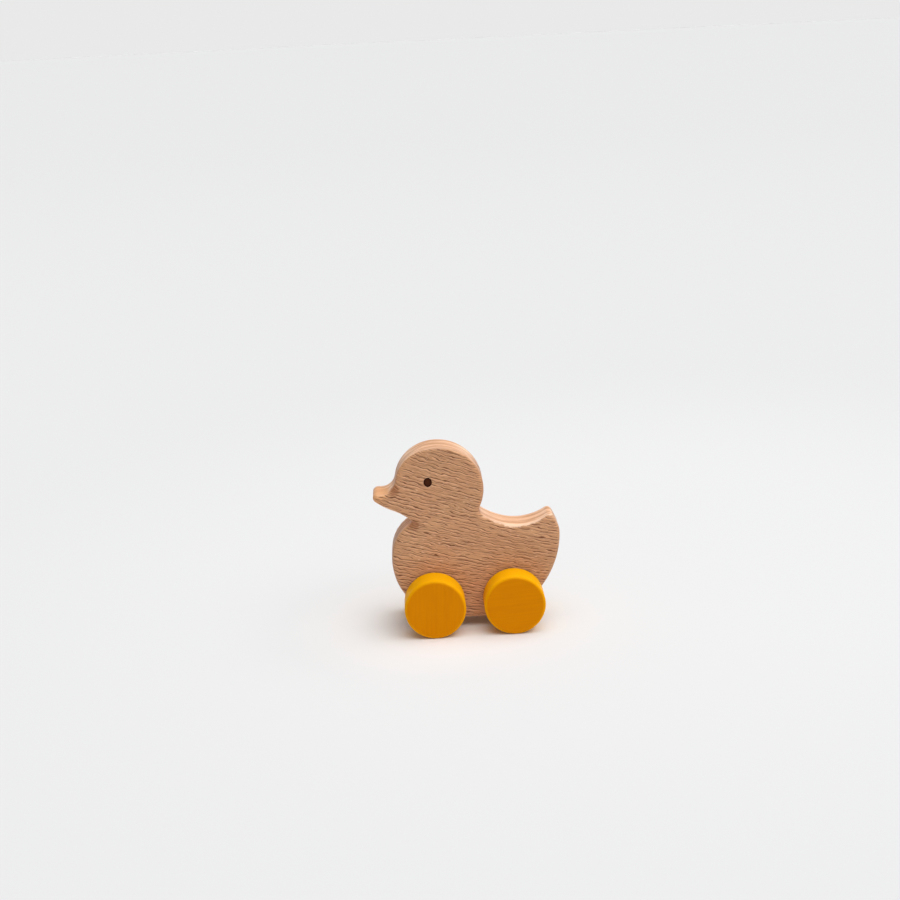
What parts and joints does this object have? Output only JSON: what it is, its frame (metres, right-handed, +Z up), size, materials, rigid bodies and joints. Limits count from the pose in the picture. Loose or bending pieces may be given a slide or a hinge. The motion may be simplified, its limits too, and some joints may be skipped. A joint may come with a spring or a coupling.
{
  "type": "push-along wooden duck",
  "caption": "Small wooden duck cut from one flat board, rolling on painted wooden wheels fixed to dowel axles.",
  "frame": {"origin": "on the floor, below the middle of the duck's bounding box", "axes": "+Z up, the beak points to -X, the duck's left side faces -Y"},
  "size_m": [0.1056, 0.05, 0.1093],
  "materials": {
    "beech": "satin",
    "painted_wheel": "satin",
    "dark_plug": "matte",
    "dowel": "matte"
  },
  "bodies": {
    "duck": {"duck_body": "beech", "left_eye": "dark_plug", "right_eye": "dark_plug"},
    "front_wheelset": {"front_axle": "dowel", "front_left_wheel": "painted_wheel", "front_right_wheel": "painted_wheel"},
    "rear_wheelset": {"rear_axle": "dowel", "rear_left_wheel": "painted_wheel", "rear_right_wheel": "painted_wheel"}
  },
  "joints": [
    {"name": "front_wheels_spin", "type": "hinge", "parent": "duck", "child": "front_wheelset", "pos_m": [-0.0208, 0, 0.0175], "axis": [0, 1, 0], "continuous": true},
    {"name": "rear_wheels_spin", "type": "hinge", "parent": "duck", "child": "rear_wheelset", "pos_m": [0.0246, 0, 0.0175], "axis": [0, 1, 0], "continuous": true}
  ]
}
